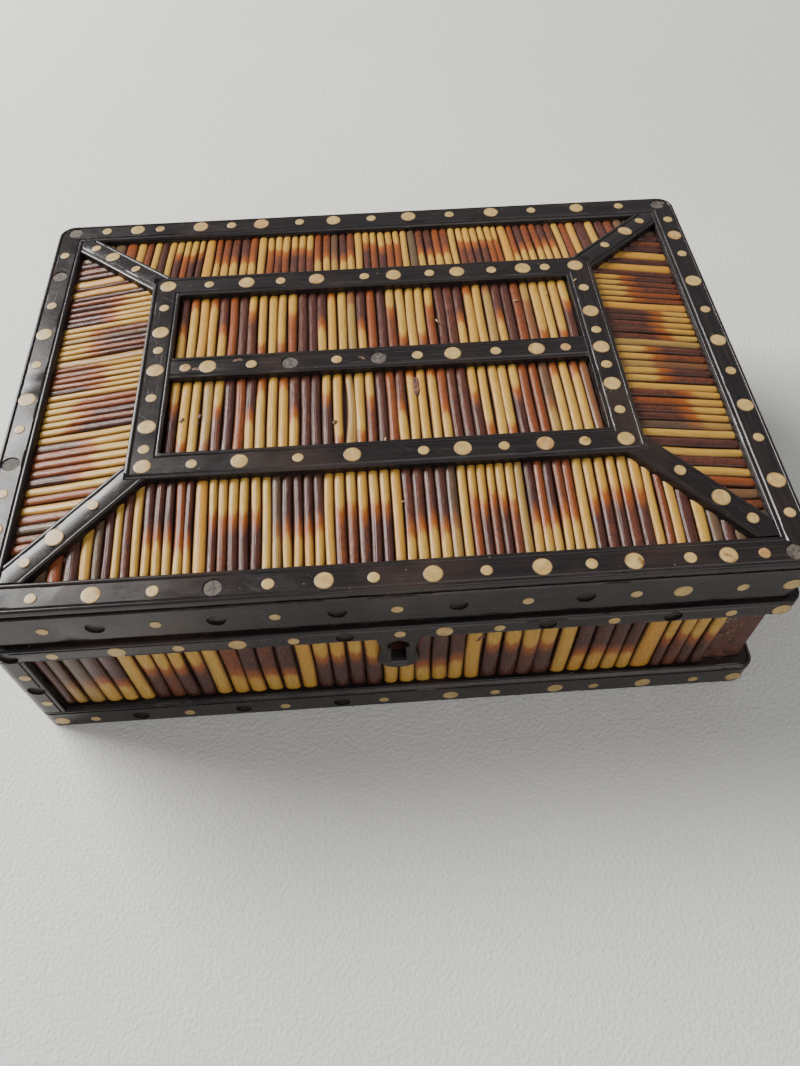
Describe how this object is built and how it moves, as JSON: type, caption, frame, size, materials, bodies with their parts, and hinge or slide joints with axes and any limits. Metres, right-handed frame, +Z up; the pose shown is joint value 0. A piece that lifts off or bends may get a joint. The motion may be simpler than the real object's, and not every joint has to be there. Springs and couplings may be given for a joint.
{
  "type": "porcupine quill box",
  "caption": "Rectangular lidded table box in ebony strips and split quills with inlaid bone dots, its lid with a low raised middle.",
  "frame": {"origin": "middle of the box's footprint, on the surface that it stands on", "axes": "+X to the right along the front, +Y to the back, +Z up"},
  "size_m": [0.2528, 0.1838, 0.0824],
  "materials": {
    "carcass": "matte",
    "ebony": "satin",
    "quill": "gloss",
    "bone": "satin"
  },
  "bodies": {
    "root": {"base_floor": "carcass", "lid_board": "carcass", "base_wall_front": "carcass", "base_wall_back": "carcass", "base_wall_left": "carcass", "base_wall_right": "carcass", "lid_rim_front": "carcass", "lid_rim_back": "carcass", "lid_rim_left": "carcass", "lid_rim_right": "carcass", "base_bottom_rail_front": "ebony", "base_bottom_rail_back": "ebony", "base_bottom_rail_left": "ebony", "base_bottom_rail_right": "ebony", "base_top_rail_front": "ebony", "base_top_rail_back": "ebony", "base_top_rail_left": "ebony", "base_top_rail_right": "ebony", "post_front_left": "ebony", "post_back_left": "ebony", "post_back_right": "ebony", "escutcheon": "ebony", "lid_bar": "ebony", "lid_edge_front": "ebony", "lid_edge_back": "ebony", "lid_edge_left": "ebony", "lid_edge_right": "ebony", "lid_frame_front": "ebony", "lid_frame_back": "ebony", "lid_frame_left": "ebony", "lid_frame_right": "ebony", "lid_rail_front": "ebony", "lid_rail_back": "ebony", "lid_rail_left": "ebony", "lid_rail_right": "ebony", "lid_diagonal_front_left": "ebony", "lid_diagonal_front_right": "ebony", "lid_diagonal_back_left": "ebony", "lid_diagonal_back_right": "ebony", "quills_front": "quill", "quills_back": "quill", "quills_left": "quill", "quills_right": "quill", "lid_quills_front": "quill", "lid_quills_back": "quill", "lid_quills_left": "quill", "lid_quills_right": "quill", "lid_quills_inner_front": "quill", "lid_quills_inner_back": "quill"}
  },
  "joints": []
}
